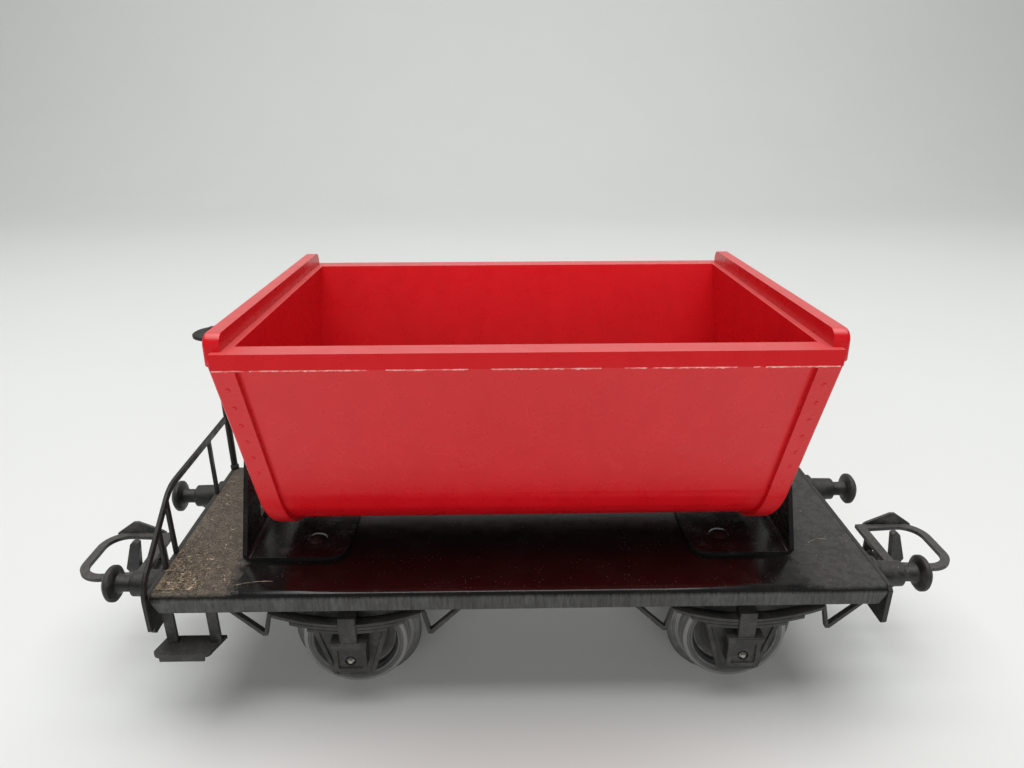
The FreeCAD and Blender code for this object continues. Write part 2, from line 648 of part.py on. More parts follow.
def make_brake():
    """Brake column on the platform's corner and the dished handwheel that turns on its spindle."""
    column = new_body("brake_column")
    turned(column, [
        (0, 0),
        (0.55, 0),
        (0.55, 0.5),
        (0.42, 0.6),
        (0.42, "dim.column_height"),
        (0.3, "dim.column_height"),
        (0.3, "dim.column_height + 1.05"),
        (0.55, "dim.column_height + 1.05"),
        (0.4, "dim.column_height + 1.35"),
        (0, "dim.column_height + 1.35"),
    ])
    place(column, "dim.column_x", "dim.column_y", TOP)
    wheel = new_body("brake_handwheel")
    rim = "dim.handwheel_radius"
    turned(wheel, [
        ("0.3 + dim.running_gap", 0.05),
        (0.75, 0.05),
        (0.9, 0.3),
        (rim + " - 0.55", 0.3),
        (rim + " - 0.3", 0.1),
        (rim, 0.25),
        (rim, 0.6),
        (rim + " - 0.3", 0.75),
        (rim + " - 0.55", 0.55),
        (0.9, 0.55),
        (0.7, 0.95),
        ("0.3 + dim.running_gap", 0.95),
    ])
    place(wheel, "dim.column_x", "dim.column_y", "dim.deck_top + dim.column_height")


def make_footstep(name, side):
    """Two flat hangers under the platform and a tread with a turned-down front edge."""
    body = new_body("footstep_" + name)
    tread = "(dim.deck_top - dim.step_drop)"
    drop = "dim.step_drop - dim.sheet_thick"
    for low in (-37.9, -33.3):
        slab(body, "XY_Plane", tread, drop, rectangle(low, low + 1.1, -0.2, 0.2))
    slab(body, "XY_Plane", tread + " - 0.4", 0.4, [
        (-38.1, -1.0),
        (-31.8, -1.0),
        (-31.2, 1.3, 0.7),
        (-31.9, 2.0),
        (-36.6, 2.0, 0.7),
        (-37.3, 1.3),
    ])
    slab(body, "XY_Plane", tread + " - 0.9", 0.9, rectangle(-36.6, -31.9, 1.7, 2.0))
    place(body, 0 if side > 0 else "-70.1", "%d * 12.9" % side, 0, 0 if side > 0 else 180)


def make_coupling(name, angle):
    """Drawbar with an upright hook, its swivel rivet, the hinged loop and the loop's pin."""
    top = "(dim.deck_top - dim.drawbar_drop)"
    hook = new_body("drawbar_" + name)
    slab(hook, "XY_Plane", top + " - 0.6", 0.6, [
        ("dim.coupler_pivot", -1.7),
        ("dim.coupler_pivot + 3", -1.2),
        (46.4, -1.2),
        (46.4, 1.2),
        ("dim.coupler_pivot + 3", 1.2),
        ("dim.coupler_pivot", 1.7, 1.7 + 0.01),
        ("dim.coupler_pivot - 1.7", 0, 1.7 + 0.01),
    ])
    slab(hook, "XY_Plane", top + " - 0.85", 1.1,
         rectangle(HINGE_X - 0.75, HINGE_X + 0.75, -1.2, 1.2))
    slab(hook, "XZ_Plane", -0.4, 0.8, [
        (45.8, top + " - 0.6"),
        (47.7, top + " - 0.6"),
        (48.1, top + " + 0.1"),
        (47.0, top + " + 3.6"),
        (46.5, top + " + 4.0"),
        (46.0, top + " + 3.7"),
        (46.4, top + " + 0.4"),
        (45.8, top + " - 0.1"),
    ])
    slab(hook, "XY_Plane", top + " - 1", 2, circles=[("dim.coupler_pivot", 0, "0.7 + dim.running_gap")], cut=True)
    slab(hook, "XZ_Plane", -2, 4, circles=[(HINGE_X, top + " - 0.3", HINGE_RADIUS)], cut=True)
    place(hook, turn=angle)

    rivet = new_body("coupling_rivet_" + name)
    turned(rivet, [
        (0, -1.1),
        (0.9, -1.1),
        (1.3, -0.9),
        (1.3, -0.7),
        (0.7, -0.7),
        (0.7, 2.9),
        (0, 2.9),
    ])
    place(rivet, "dim.coupler_pivot" if angle == 0 else "-dim.coupler_pivot", 0, top)

    pin = new_body("loop_pin_" + name)
    turned(pin, [(0, -2.3), (HINGE_RADIUS, -2.3), (HINGE_RADIUS, 2.3), (0, 2.3)])
    place(pin, HINGE_X if angle == 0 else -HINGE_X, 0, top + " - 0.3", 90, Vector(1, 0, 0))

    # The loop's far side, towards +Y, carries the tall guide plate on both couplings.
    hand = 1 if angle == 0 else -1
    loop = new_body("coupling_loop_" + name)
    face = "(dim.deck_top - dim.loop_drop)"
    back = 43.9
    outer = "dim.loop_reach"
    half = "dim.loop_half"
    slab(loop, "XY_Plane", face + " - 0.5", 0.5, [
        (back, "-(%s - 0.3)" % half),
        (outer + " - 3.2", "-" + half, 3.2),
        (outer, "-(%s - 3.2)" % half),
        (outer, "%s - 3.2" % half, 3.2),
        (outer + " - 3.2", half),
        (back, "%s - 0.3" % half),
    ])
    slab(loop, "XY_Plane", face + " - 1", 2, [
        (back + 1.2, "-(%s - 1.3)" % half),
        (outer + " - 3.2", "-(%s - 1)" % half, 2.2),
        (outer + " - 1", "-(%s - 3.2)" % half),
        (outer + " - 1", "%s - 3.2" % half, 2.2),
        (outer + " - 3.2", "%s - 1" % half),
        (back + 1.2, "%s - 1.3" % half),
    ], cut=True)
    guide = "%s - 0.4" % half if hand > 0 else "-" + half
    slab(loop, "XZ_Plane", guide, 0.4, [
        (45.0, face + " - 0.5"),
        (51.0, face + " - 0.5"),
        (51.1, face),
        (48.8, face + " + 1.6"),
        (48.2, face + " + 1.6"),
        (45.4, face + " + 0.3"),
        (45.0, face),
    ])
    for low in (-1.9, 1.5):
        slab(loop, "XZ_Plane", low, 0.4, [
            (back, face),
            (back, top + " - 0.6"),
            (back + 0.3, top + " - 0.9"),
            (back + 0.9, top + " - 0.9"),
            (back + 1.2, top + " - 0.6"),
            (back + 1.2, face),
        ])
    slab(loop, "XZ_Plane", -2.5, 5, circles=[(HINGE_X, top + " - 0.3", HINGE_RADIUS + 0.06)], cut=True)
    place(loop, turn=angle)


def main():
    make_deck()
    make_underframe()
    make_bracket("left", 180)
    make_bracket("right", 0)
    make_bracket_rivets()
    make_hopper()
    make_railing()
    make_brake()
    for end, x_side in (("left", -1), ("right", 1)):
        make_end_beam(end, x_side)
        x = "dim.wheel_shift + %d * dim.wheelbase / 2" % x_side
        make_axle(end, x)
        make_coupling(end, 0 if x_side > 0 else 180)
        for flank, y_side in (("near", -1), ("far", 1)):
            name = "%s_%s" % (end, flank)
            make_wheel(name, x, y_side)
            make_axle_guard(name, x, y_side)
            make_axlebox(name, x, y_side)
            make_leaf_spring(name, x, y_side)
            make_spring_hangers(name, x, y_side)
            make_buffer(name, x_side, y_side)
    make_footstep("near", -1)
    make_footstep("far", 1)
    doc.recompute()
    for item in doc.Objects:
        if "Invalid" in item.State or "Error" in item.State:
            raise RuntimeError("%s failed: %s" % (item.Label, item.State))
    os.makedirs("parts", exist_ok=True)
    for piece in parts:
        shape = piece.Shape
        if shape.isNull() or not shape.isValid() or not shape.Solids:
            raise RuntimeError("%s has no valid solid" % piece.Label)
        shape.exportStep("parts/%s.step" % piece.Label)
        print(piece.Label, "solids", len(shape.Solids), "volume %.2f" % shape.Volume)


main()
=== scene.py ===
import json
import math
import random

import bmesh
import bpy
from mathutils import Matrix, Vector, noise

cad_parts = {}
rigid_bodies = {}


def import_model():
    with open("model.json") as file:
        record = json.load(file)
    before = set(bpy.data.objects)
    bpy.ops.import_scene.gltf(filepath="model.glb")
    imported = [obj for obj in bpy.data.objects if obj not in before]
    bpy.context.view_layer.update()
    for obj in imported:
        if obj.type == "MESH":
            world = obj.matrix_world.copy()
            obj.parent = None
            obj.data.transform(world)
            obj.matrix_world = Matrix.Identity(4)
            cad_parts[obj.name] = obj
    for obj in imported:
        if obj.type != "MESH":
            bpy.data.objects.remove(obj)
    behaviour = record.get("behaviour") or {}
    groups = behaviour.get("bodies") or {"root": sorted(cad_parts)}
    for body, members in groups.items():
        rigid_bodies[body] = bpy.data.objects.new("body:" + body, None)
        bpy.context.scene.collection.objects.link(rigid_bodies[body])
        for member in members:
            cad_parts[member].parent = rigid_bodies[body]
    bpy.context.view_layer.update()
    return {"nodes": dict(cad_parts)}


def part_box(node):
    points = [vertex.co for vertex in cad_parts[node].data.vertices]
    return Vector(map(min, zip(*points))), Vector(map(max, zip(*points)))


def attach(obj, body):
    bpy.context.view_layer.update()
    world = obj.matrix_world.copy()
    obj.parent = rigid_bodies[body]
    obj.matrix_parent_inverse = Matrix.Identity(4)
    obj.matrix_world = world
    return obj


MM = 0.001

for leftover in list(bpy.data.objects):
    bpy.data.objects.remove(leftover)
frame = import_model()
nodes = frame["nodes"]
random.seed(7)


# ---------------------------------------------------------------- node trees

class Shade:
    """A material and short calls that add nodes to it. Texture space is the row frame in millimetres."""

    def __init__(self, name):
        self.material = bpy.data.materials.new(name)
        self.material.use_nodes = True
        self.tree = self.material.node_tree
        self.tree.nodes.clear()
        output = self.tree.nodes.new("ShaderNodeOutputMaterial")
        self.surface = self.tree.nodes.new("ShaderNodeBsdfPrincipled")
        self.tree.links.new(self.surface.outputs["BSDF"], output.inputs["Surface"])
        coordinates = self.tree.nodes.new("ShaderNodeTexCoord")
        self.place = self.vector("MULTIPLY", coordinates.outputs["Object"], (1000, 1000, 1000))
        self.x, self.y, self.z = self.split(self.place)
        self.facing = self.split(coordinates.outputs["Normal"])

    def fill(self, socket, value):
        if isinstance(value, bpy.types.NodeSocket):
            self.tree.links.new(value, socket)
        else:
            socket.default_value = value

    def vector(self, operation, a, b):
        node = self.tree.nodes.new("ShaderNodeVectorMath")
        node.operation = operation
        self.fill(node.inputs[0], a)
        self.fill(node.inputs[1], b)
        return node.outputs["Vector"]

    def split(self, vector):
        node = self.tree.nodes.new("ShaderNodeSeparateXYZ")
        self.fill(node.inputs[0], vector)
        return node.outputs[0], node.outputs[1], node.outputs[2]

    def join(self, x, y, z):
        node = self.tree.nodes.new("ShaderNodeCombineXYZ")
        for socket, value in zip(node.inputs, (x, y, z)):
            self.fill(socket, value)
        return node.outputs[0]

    def math(self, operation, a, b=0.0, clamp=False):
        node = self.tree.nodes.new("ShaderNodeMath")
        node.operation = operation
        node.use_clamp = clamp
        self.fill(node.inputs[0], a)
        self.fill(node.inputs[1], b)
        return node.outputs[0]

    def times(self, *values):
        result = values[0]
        for value in values[1:]:
            result = self.math("MULTIPLY", result, value)
        return result

    def step(self, value, low, high, start=0.0, end=1.0):
        """start below low, end above high and a smooth change between them."""
        node = self.tree.nodes.new("ShaderNodeMapRange")
        node.interpolation_type = "SMOOTHSTEP"
        self.fill(node.inputs["Value"], value)
        for name, number in (("From Min", low), ("From Max", high), ("To Min", start), ("To Max", end)):
            self.fill(node.inputs[name], number)
        return node.outputs["Result"]

    def noise(self, scale, detail=3.0, stretch=(1, 1, 1), roughness=0.55, warp=0.0):
        """Fractal noise from 0 to 1, scale in cells per millimetre."""
        node = self.tree.nodes.new("ShaderNodeTexNoise")
        self.fill(node.inputs["Vector"], self.vector("MULTIPLY", self.place, stretch))
        node.inputs["Scale"].default_value = scale
        node.inputs["Detail"].default_value = detail
        node.inputs["Roughness"].default_value = roughness
        node.inputs["Distortion"].default_value = warp
        return node.outputs["Fac"]

    def grains(self, scale, size):
        """1 inside scattered round specks whose radius is size cells, else 0."""
        node = self.tree.nodes.new("ShaderNodeTexVoronoi")
        self.fill(node.inputs["Vector"], self.place)
        node.inputs["Scale"].default_value = scale
        node.inputs["Randomness"].default_value = 1.0
        return self.step(node.outputs["Distance"], size * 0.6, size, 1.0, 0.0)

    def mix(self, share, a, b):
        node = self.tree.nodes.new("ShaderNodeMix")
        node.data_type = "RGBA"
        self.fill(node.inputs[0], share)
        self.fill(node.inputs[6], (*a, 1.0) if isinstance(a, tuple) else a)
        self.fill(node.inputs[7], (*b, 1.0) if isinstance(b, tuple) else b)
        return node.outputs[2]

    def blend(self, share, a, b):
        node = self.tree.nodes.new("ShaderNodeMix")
        self.fill(node.inputs[0], share)
        self.fill(node.inputs[2], a)
        self.fill(node.inputs[3], b)
        return node.outputs[0]

    def bump(self, height, depth, normal=None):
        """Relief of the given depth in millimetres."""
        node = self.tree.nodes.new("ShaderNodeBump")
        node.inputs["Strength"].default_value = 1.0
        node.inputs["Distance"].default_value = depth * MM
        self.fill(node.inputs["Height"], height)
        if normal is not None:
            self.fill(node.inputs["Normal"], normal)
        return node.outputs["Normal"]

    def finish(self, colour, roughness, normal=None, metallic=0.0, specular=0.5):
        self.fill(self.surface.inputs["Base Color"], (*colour, 1.0) if isinstance(colour, tuple) else colour)
        self.fill(self.surface.inputs["Roughness"], roughness)
        self.fill(self.surface.inputs["Metallic"], metallic)
        self.surface.inputs["Specular IOR Level"].default_value = specular
        if normal is not None:
            self.fill(self.surface.inputs["Normal"], normal)
        return self.material


def red_plastic():
    """Moulded red plastic: faint flow marks, a paler film of dust and painted sheen on top faces, specks and
    a fine grain.
    """
    s = Shade("moulded_red")
    up = s.step(s.facing[2], 0.55, 1.0)
    flow = s.noise(0.35, 4, (1, 1, 0.35), warp=0.6)
    cloud = s.noise(0.09, 3)
    deep_red, bright_red = (0.61, 0.005, 0.010), (0.66, 0.007, 0.013)
    pale_dust_and_sheen, pale_speck = (0.96, 0.46, 0.44), (0.86, 0.50, 0.46)
    colour = s.mix(s.step(flow, 0.2, 0.8), deep_red, bright_red)
    # film is dust plus a painted sheen: top faces are lightened towards pale pink.
    film = s.times(up, s.step(cloud, 0.2, 0.8, 0.55, 0.85))
    colour = s.mix(s.times(film, 0.25), colour, pale_dust_and_sheen)
    exposed = s.step(s.facing[2], -0.2, 0.6, 0.10, 1.0)
    speck = s.times(s.grains(1.6, 0.055), s.step(s.noise(0.5), 0.50, 0.7), exposed)
    colour = s.mix(s.times(speck, 0.55), colour, pale_speck)
    rough = s.step(s.noise(0.6, 3), 0.3, 0.7, 0.26, 0.34)
    rough = s.math("ADD", rough, s.times(film, 0.12))
    waves = s.bump(s.noise(0.16, 2), 0.03)
    return s.finish(colour, rough, s.bump(s.noise(2.4, 2), 0.005, waves))


def flash_plastic():
    """Torn thin edge of the same plastic, bleached and dusty."""
    s = Shade("bleached_flash")
    torn_red, bleached = (0.78, 0.12, 0.11), (0.88, 0.50, 0.45)
    colour = s.mix(s.step(s.noise(1.4, 4), 0.35, 0.65), torn_red, bleached)
    return s.finish(colour, s.step(s.noise(3.0), 0.3, 0.7, 0.55, 0.85), s.bump(s.noise(8.0), 0.02))


def deck_paint():
    """Glossy black paint: gritty on the platform, filmed over at the other end, scuffed flanges."""
    s = Shade("deck_paint")
    up = s.step(s.facing[2], 0.5, 0.95)
    wander = s.times(s.math("SUBTRACT", s.noise(0.9, 5, roughness=0.7), 0.5), 5.0)
    along = s.math("ADD", s.x, wander)
    platform_ends = (-31.5, -29.5)
    film_starts = (28.5, 33.0)
    dark_dirt, light_dirt = (0.034, 0.029, 0.023), (0.25, 0.21, 0.16)
    deep_black, worn_black = (0.005, 0.005, 0.005), (0.010, 0.009, 0.009)
    thin_film, thick_film = (0.045, 0.045, 0.042), (0.10, 0.10, 0.092)
    haze_grey, speck_grey, scuff_grey = (0.10, 0.095, 0.088), (0.36, 0.34, 0.30), (0.085, 0.088, 0.086)
    grit_end = s.step(along, *platform_ends, 1.0, 0.0)
    film_end = s.step(along, *film_starts)
    grime = s.step(s.noise(1.1, 6, roughness=0.7), 0.36, 0.62)
    fine = s.noise(4.5, 4, roughness=0.7)
    dirt = s.mix(s.step(fine, 0.3, 0.7), dark_dirt, light_dirt)
    black = s.mix(s.noise(0.5, 4), deep_black, worn_black)
    film = s.mix(s.step(fine, 0.25, 0.75), thin_film, thick_film)
    haze = s.times(s.step(s.noise(0.25, 5, roughness=0.65), 0.40, 0.75), s.step(fine, 0.35, 0.75, 0.02, 0.16))
    speck = s.times(s.grains(2.4, 0.13), s.step(s.noise(0.3, 2), 0.40, 0.65))
    colour = s.mix(haze, black, haze_grey)
    colour = s.mix(s.times(up, film_end, s.step(grime, 0, 1, 0.45, 0.85)), colour, film)
    colour = s.mix(s.times(up, grit_end, s.step(grime, 0, 1, 0.60, 1.0)), colour, dirt)
    colour = s.mix(s.times(up, speck, 0.6), colour, speck_grey)
    side = s.step(s.math("ABSOLUTE", s.facing[1]), 0.80, 0.97)
    brush = s.noise(1.3, 5, (3.2, 1, 0.5), roughness=0.72)
    cloud = s.noise(0.35, 4)
    scuff = s.times(side, s.step(brush, 0.25, 0.75), s.step(cloud, 0.3, 0.7, 0.55, 1.0))
    colour = s.mix(scuff, colour, scuff_grey)
    dusty = s.times(up, s.math("MAXIMUM", grit_end, s.times(film_end, 0.8)))
    rough = s.step(s.noise(0.8, 5), 0.3, 0.7, 0.12, 0.20)
    rough = s.blend(s.times(side, 0.9), rough, s.step(brush, 0.3, 0.7, 0.32, 0.50))
    rough = s.blend(dusty, rough, s.step(fine, 0.3, 0.7, 0.62, 0.9))
    dents = s.bump(s.noise(0.10, 2), 0.10)
    scratches = s.bump(s.times(side, brush), 0.03, dents)
    grain = s.bump(s.times(fine, s.step(dusty, 0, 1, 0.06, 1.0)), 0.08, scratches)
    return s.finish(colour, rough, grain)


def bracket_paint():
    """Glossy black paint with a thin haze, rubbed brighter in small patches."""
    s = Shade("bracket_paint")
    up = s.step(s.facing[2], 0.5, 0.95)
    haze = s.step(s.noise(0.4, 5, roughness=0.65), 0.45, 0.75)
    fine = s.noise(4.0, 4, roughness=0.7)
    deep_black, worn_black = (0.006, 0.006, 0.006), (0.013, 0.012, 0.012)
    haze_grey, speck_grey = (0.11, 0.10, 0.095), (0.34, 0.31, 0.28)
    black = s.mix(s.noise(0.6, 4), deep_black, worn_black)
    colour = s.mix(s.times(haze, s.step(up, 0, 1, 0.10, 0.22)), black, haze_grey)
    speck = s.times(s.grains(1.9, 0.09), s.step(s.noise(0.4, 2), 0.5, 0.7), up)
    colour = s.mix(s.times(speck, 0.6), colour, speck_grey)
    rough = s.math("ADD", s.step(fine, 0.3, 0.7, 0.16, 0.28), s.times(haze, 0.10))
    dents = s.bump(s.noise(0.15, 2), 0.08)
    return s.finish(colour, rough, s.bump(fine, 0.010, dents))


def black_plastic(name="chassis_plastic", dust=0.45, base=0.014):
    """Matt black plastic: grey dust on top faces and in patches, slightly shiny rubbed spots.

    dust is the share of the grey film, base the brightness of the plastic under it.
    """
    s = Shade(name)
    dust_grey, speck_buff = (0.175, 0.168, 0.152), (0.40, 0.37, 0.32)
    up = s.step(s.facing[2], 0.35, 0.95)
    patch = s.noise(0.55, 5, roughness=0.68)
    fine = s.noise(3.2, 3, roughness=0.7)
    colour = s.mix(fine, (base * 0.7, base * 0.7, base * 0.72), (base * 1.6, base * 1.6, base * 1.6))
    film = s.math("ADD", s.times(up, 0.8), s.step(patch, 0.42, 0.66, 0.0, 0.75), clamp=True)
    colour = s.mix(s.times(film, s.step(fine, 0.2, 0.8, 0.4, 1.0), dust), colour, dust_grey)
    speck = s.times(s.grains(2.2, 0.11), s.step(patch, 0.42, 0.58), s.step(up, 0, 1, 0.25, 1.0))
    colour = s.mix(s.times(speck, 0.8), colour, speck_buff)
    rough = s.step(patch, 0.3, 0.7, 0.34, 0.58)
    rough = s.math("ADD", rough, s.times(film, 0.18))
    soft = s.bump(s.noise(0.8, 3), 0.03)
    return s.finish(colour, rough, s.bump(fine, 0.022, soft), specular=0.45)


def wheel_metal(name, axle_x, axle_z):
    """Tarnished grey metal with turning rings about the axle, darker towards the middle."""
    s = Shade(name)
    dark_ring, light_ring = (0.060, 0.061, 0.062), (0.26, 0.26, 0.262)
    tarnish, bright_tread, grime = (0.045, 0.042, 0.038), (0.34, 0.34, 0.34), (0.040, 0.038, 0.036)
    dx = s.math("SUBTRACT", s.x, axle_x)
    dz = s.math("SUBTRACT", s.z, axle_z)
    radius = s.math("SQRT", s.math("ADD", s.times(dx, dx), s.times(dz, dz)))
    rings = s.tree.nodes.new("ShaderNodeTexNoise")
    s.fill(rings.inputs["Vector"], s.join(s.times(radius, 6.0), s.times(s.y, 1.5), 0.0))
    rings.inputs["Scale"].default_value = 1.3
    rings.inputs["Detail"].default_value = 3.0
    ring = rings.outputs["Fac"]
    patch = s.noise(0.5, 5, roughness=0.65)
    fine = s.noise(4.0, 4, roughness=0.7)
    colour = s.mix(s.step(ring, 0.35, 0.65), dark_ring, light_ring)
    colour = s.mix(s.step(patch, 0.4, 0.7, 0.10, 0.70), colour, tarnish)
    tread = s.times(s.step(radius, 5.3, 5.6), s.step(radius, 6.2, 6.4, 1.0, 0.0))
    colour = s.mix(s.times(tread, 0.55), colour, bright_tread)
    # The wheel's colour is darkened towards its middle.
    centre = s.step(radius, 3.4, 4.8, 0.75, 0.0)
    colour = s.mix(centre, colour, grime)
    rough = s.step(patch, 0.3, 0.7, 0.34, 0.58)
    metal = s.step(patch, 0.35, 0.7, 0.75, 0.25)
    relief = s.bump(ring, 0.05)
    return s.finish(colour, rough, s.bump(fine, 0.015, relief), metallic=metal)


def axle_steel():
    """Bright turned steel with fine rings and a little tarnish."""
    s = Shade("axle_steel")
    ring = s.noise(3.0, 3, (0.2, 4, 0.2))
    tarnish = s.noise(0.9, 4)
    bright, dull = (0.40, 0.39, 0.37), (0.16, 0.14, 0.12)
    colour = s.mix(s.step(tarnish, 0.5, 0.75, 0.0, 0.7), bright, dull)
    return s.finish(colour, s.step(tarnish, 0.3, 0.7, 0.22, 0.45), s.bump(ring, 0.01), metallic=1.0)


def grit_material():
    """Dust grains and lint: earth brown, sand and chalk."""
    s = Shade("dust_grains")
    pick = s.noise(1.7, 1)
    earth, sand, chalk = (0.11, 0.09, 0.07), (0.34, 0.27, 0.18), (0.64, 0.54, 0.41)
    colour = s.mix(s.step(pick, 0.3, 0.55), earth, sand)
    colour = s.mix(s.step(pick, 0.58, 0.68), colour, chalk)
    return s.finish(colour, s.step(s.noise(5.0), 0.3, 0.7, 0.7, 0.95))


# ---------------------------------------------------------------- pieces

EDGE_ANGLE = math.radians(28)
WELD_GAP = 0.002 * MM


def soften(node, width, segments=2):
    """Small rounded edges on a CAD node, made by modifiers that leave its own mesh as it is."""
    piece = nodes[node]
    weld = piece.modifiers.new("weld", "WELD")
    weld.merge_threshold = WELD_GAP
    bevel = piece.modifiers.new("soft_edges", "BEVEL")
    bevel.width = width * MM
    bevel.segments = segments
    bevel.limit_method = "ANGLE"
    bevel.angle_limit = EDGE_ANGLE
    bevel.harden_normals = True
    bevel.miter_outer = "MITER_ARC"
    bevel.use_clamp_overlap = True


def new_piece(name, mesh, material, body, smooth=True):
    """Adds a mesh to the scene as a piece of the object, riding on a body."""
    piece = bpy.data.objects.new(name, mesh)
    bpy.context.scene.collection.objects.link(piece)
    mesh.materials.clear()
    mesh.materials.append(material)
    for face in mesh.polygons:
        face.use_smooth = smooth
    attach(piece, body)
    return piece


def dome(bm, centre, normal, radius, height, rings=4, sides=14):
    """Adds a domed rivet head to a mesh: half an ellipsoid, open where it sits on the wall."""
    turn = Vector((0, 0, 1)).rotation_difference(Vector(normal)).to_matrix()
    centre = Vector(centre)
    loops = []
    for ring in range(rings + 1):
        if ring == rings:
            loops.append([bm.verts.new(centre + turn @ Vector((0, 0, height)))])
            continue
        lift = math.sin(math.pi / 2 * ring / rings)
        spread = math.cos(math.pi / 2 * ring / rings)
        loops.append([
            bm.verts.new(centre + turn @ Vector((
                radius * spread * math.cos(2 * math.pi * side / sides),
                radius * spread * math.sin(2 * math.pi * side / sides),
                height * lift,
            )))
            for side in range(sides)
        ])
    for lower, upper in zip(loops, loops[1:]):
        for side in range(sides):
            following = (side + 1) % sides
            if len(upper) == 1:
                bm.faces.new((lower[side], lower[following], upper[0]))
            else:
                bm.faces.new((lower[side], lower[following], upper[following], upper[side]))


def mesh_from(bm, name):
    """Turns a bmesh into a mesh and frees it."""
    mesh = bpy.data.meshes.new(name)
    bm.normal_update()
    bm.to_mesh(mesh)
    bm.free()
    return mesh


# The hopper's trim is made for a hopper that stands level and centred, with its side walls SLOPE off
# upright and its bottom rounded about PIVOT. HOPPER_REST then takes it to where the hopper rests.
deck_low, deck_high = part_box("deck_plate")
DECK_TOP = deck_high.z
PIVOT = Vector((0, 0, 31.0 * MM))
SLOPE = math.radians(23.7)
ROUND = 12.3 * MM
RIM = DECK_TOP + 27.3 * MM
LIP_BOTTOM = RIM - 1.45 * MM
LIP_OUT = 19.3 * MM
END_PLAY = 0.42 * MM
TRUNNION_Y = 0.5 * MM
LEAN = Matrix.Rotation(math.radians(-1.4), 4, "X")
HOPPER_REST = (Matrix.Translation(PIVOT + Vector((END_PLAY, TRUNNION_Y, 0)))
               @ LEAN @ Matrix.Translation(-PIVOT))


def wall_point(drop):
    """Point (y, z) on the band's outer face, drop metres down the slope from under the rim bar."""
    tangent_y = ROUND * math.cos(SLOPE)
    tangent_z = PIVOT.z - ROUND * math.sin(SLOPE)
    y = tangent_y + (LIP_BOTTOM - tangent_z) * math.tan(SLOPE)
    return y - drop * math.sin(SLOPE), LIP_BOTTOM - drop * math.cos(SLOPE)


def hopper_rivets(material):
    """A row of small rivet heads down each of the hopper's four end bands."""
    bm = bmesh.new()
    per_band = 7
    first, pitch = 2.6, 2.28
    band_middle = 26.2 * MM
    sunk = 0.02 * MM
    radius, height = 0.24 * MM, 0.10 * MM
    normal_y, normal_z = math.cos(SLOPE), -math.sin(SLOPE)
    for end in (-1, 1):
        for side in (-1, 1):
            for count in range(per_band):
                y, z = wall_point((first + pitch * count) * MM)
                spot = (end * band_middle, side * (y - sunk), z)
                dome(bm, spot, (0, side * normal_y, normal_z), radius, height)
    mesh = mesh_from(bm, "hopper_rivet_heads")
    mesh.transform(HOPPER_REST)
    new_piece("hopper_rivet_heads", mesh, material, "hopper")


def close_strip(bm, sections):
    """Closed solid strip through four-cornered sections, if there are at least two of them."""
    if len(sections) < 2:
        return
    rings = [[bm.verts.new(Vector(corner) * MM) for corner in section] for section in sections]
    for before, after in zip(rings, rings[1:]):
        for a in range(4):
            b = (a + 1) % 4
            bm.faces.new((before[a], before[b], after[b], after[a]))
    bm.faces.new(rings[0])
    bm.faces.new(list(reversed(rings[-1])))


def rim_flash(material):
    """Ragged moulding flash in broken runs along the lower edge of both rim bars."""
    bm = bmesh.new()
    face = LIP_OUT / MM
    low = LIP_BOTTOM / MM
    end = 26.7
    gap_step = 0.3
    least_drop = 0.02
    for side in (-1, 1):
        sections = []
        x = -end
        while x < end:
            presence = noise.noise(Vector((x * 0.35, side * 3.0, 0.0))) + 0.32
            tear = noise.noise(Vector((x * 3.0, side * 7.0, 2.0)))
            drop = 0.05 + 0.07 * presence + 0.10 * tear
            if presence < 0 or drop < least_drop:
                close_strip(bm, sections)
                sections = []
                x += gap_step
                continue
            out = 0.03 + 0.03 * noise.noise(Vector((x * 2.2, side * 5.0, 9.0)))
            sections.append([
                (x, side * (face - 0.08), low + 0.04),
                (x, side * (face + out), low + 0.03),
                (x, side * (face + out * 0.6), low - drop),
                (x, side * (face - 0.09), low - drop * 0.5),
            ])
            x += random.uniform(0.10, 0.22)
        close_strip(bm, sections)
    bmesh.ops.recalc_face_normals(bm, faces=bm.faces)
    mesh = mesh_from(bm, "rim_flash")
    mesh.transform(HOPPER_REST)
    new_piece("rim_flash", mesh, material, "hopper", smooth=False)


def grain(bm, centre, size):
    """Irregular dust grain or short fibre: a squashed, jittered octahedron."""
    turn = Matrix.Rotation(random.uniform(0, math.tau), 3, "Z")
    stretch = random.uniform(0.7, 1.4) if random.random() < 0.8 else random.uniform(2.0, 4.5)
    points = [(1, 0, 0), (0, 1, 0), (-1, 0, 0), (0, -1, 0), (0, 0, 1), (0, 0, -0.6)]
    verts = []
    for point in points:
        shape = Vector(point)
        shape.x *= stretch
        shape.y *= random.uniform(0.5, 1.1)
        shape.z *= random.uniform(0.4, 0.9)
        verts.append(bm.verts.new(Vector(centre) + turn @ shape * size))
    for a in range(4):
        b = (a + 1) % 4
        bm.faces.new((verts[a], verts[b], verts[4]))
        bm.faces.new((verts[b], verts[a], verts[5]))


